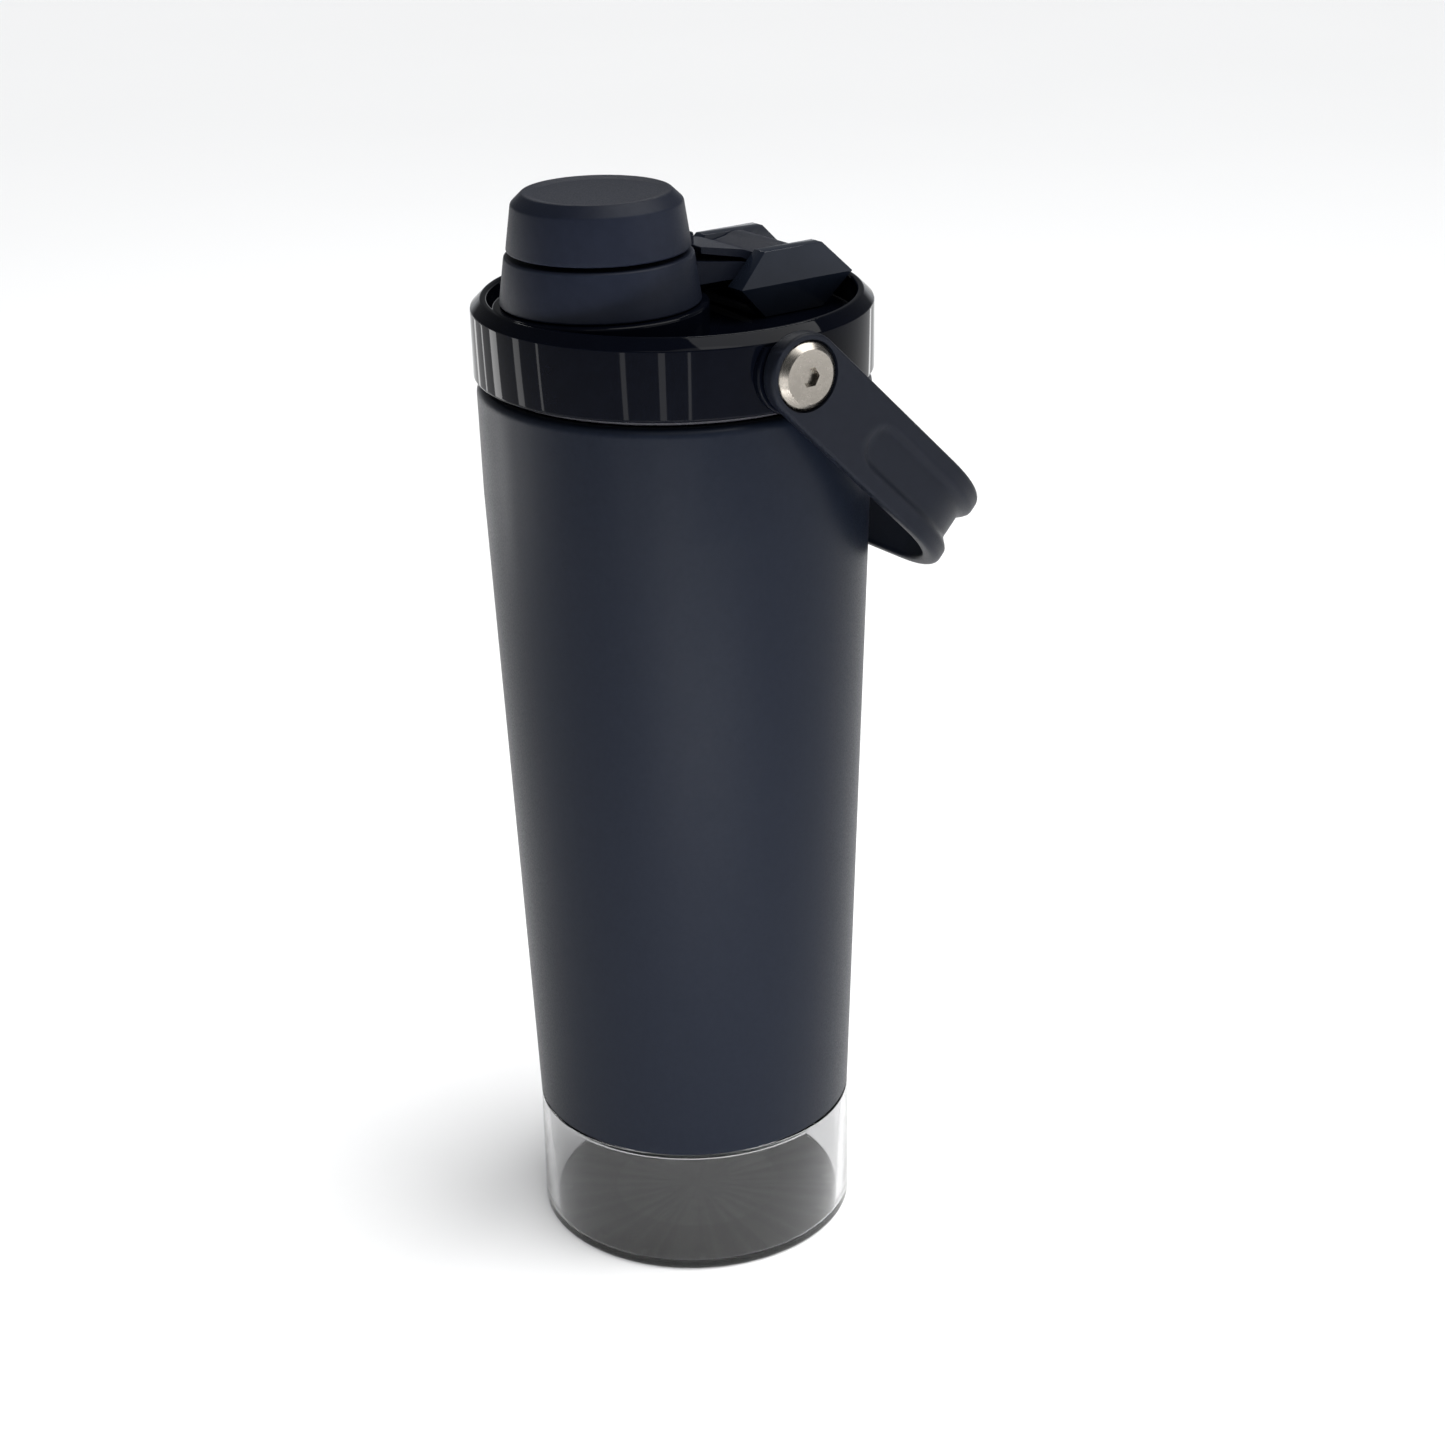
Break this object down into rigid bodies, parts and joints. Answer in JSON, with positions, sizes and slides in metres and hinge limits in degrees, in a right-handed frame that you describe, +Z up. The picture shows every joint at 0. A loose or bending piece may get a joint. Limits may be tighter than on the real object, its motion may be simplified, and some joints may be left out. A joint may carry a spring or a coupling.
{
  "type": "protein shaker bottle",
  "caption": "Insulated steel shaker bottle with a clear screw-off base cup, screw lid, flip cap over an off-centre spout and a swinging carry handle.",
  "frame": {"origin": "centre of the base cup's flat underside, on the bottle's axis", "axes": "+Z up along the bottle's axis; +X from the spout towards the cap's hinge, the side the handle rests on; Y along the handle's pivot axis"},
  "size_m": [0.107, 0.105, 0.2633],
  "materials": {
    "clear_plastic": "clear, faintly smoky, polished",
    "silicone": "matt silicone",
    "powder_coat": "fine satin powder coat, blue-black",
    "bare_steel": "brushed stainless steel",
    "gloss_black": "piano-black gloss",
    "matte_black": "fine matt texture",
    "core_plastic": "plain moulded, semi-matt",
    "polished_steel": "satin face with a polished chamfer",
    "nylon": "moulded nylon",
    "brass": "turned brass",
    "handle_black": "soft matt, slightly rubbery"
  },
  "bodies": {
    "cup": {"base_cup": "clear_plastic"},
    "base_seal": {"base_cup_seal": "silicone"},
    "bottle": {"outer_shell": "powder_coat", "inner_liner": "bare_steel", "shell_bottom": "bare_steel", "vacuum_seal": "nylon", "base_thread_ring": "nylon"},
    "lid_seal": {"lid_gasket": "silicone"},
    "lid": {"lid_cover": "gloss_black", "lid_core": "core_plastic", "mixing_grid": "core_plastic", "spout": "core_plastic", "spout_collar": "matte_black", "hinge_bracket": "gloss_black", "hinge_pin": "polished_steel", "pivot_screw_left": "polished_steel", "pivot_screw_right": "polished_steel", "pivot_washer_left": "nylon", "pivot_washer_right": "nylon", "pivot_insert_left": "brass", "pivot_insert_right": "brass"},
    "cap": {"flip_cap": "matte_black", "cap_liner": "core_plastic", "cap_seal": "silicone"},
    "handle": {"handle": "handle_black"}
  },
  "joints": [
    {"name": "body_lift", "type": "slide", "parent": "cup", "child": "base_seal", "axis": [0, 0, 1], "range_m": [0, 0.00605]},
    {"name": "body_unscrew", "type": "hinge", "parent": "base_seal", "child": "bottle", "pos_m": [0, 0, 0.04], "axis": [0, 0, 1], "range_deg": [0, 270]},
    {"name": "lid_lift", "type": "slide", "parent": "bottle", "child": "lid_seal", "axis": [0, 0, 1], "range_m": [0, 0.00605]},
    {"name": "lid_unscrew", "type": "hinge", "parent": "lid_seal", "child": "lid", "pos_m": [0, 0, 0.22], "axis": [0, 0, 1], "range_deg": [0, 270]},
    {"name": "cap_flip", "type": "hinge", "parent": "lid", "child": "cap", "pos_m": [0.0245, 0, 0.2402], "axis": [0, 1, 0], "range_deg": [0, 135]},
    {"name": "handle_swing", "type": "hinge", "parent": "lid", "child": "handle", "pos_m": [0, 0, 0.2286], "axis": [0, -1, 0], "range_deg": [0, 268]}
  ],
  "couplings": [
    {"joint": "body_lift", "follows": "body_unscrew", "m_per_rad": 0.0012732},
    {"joint": "lid_lift", "follows": "lid_unscrew", "m_per_rad": 0.0012732}
  ]
}
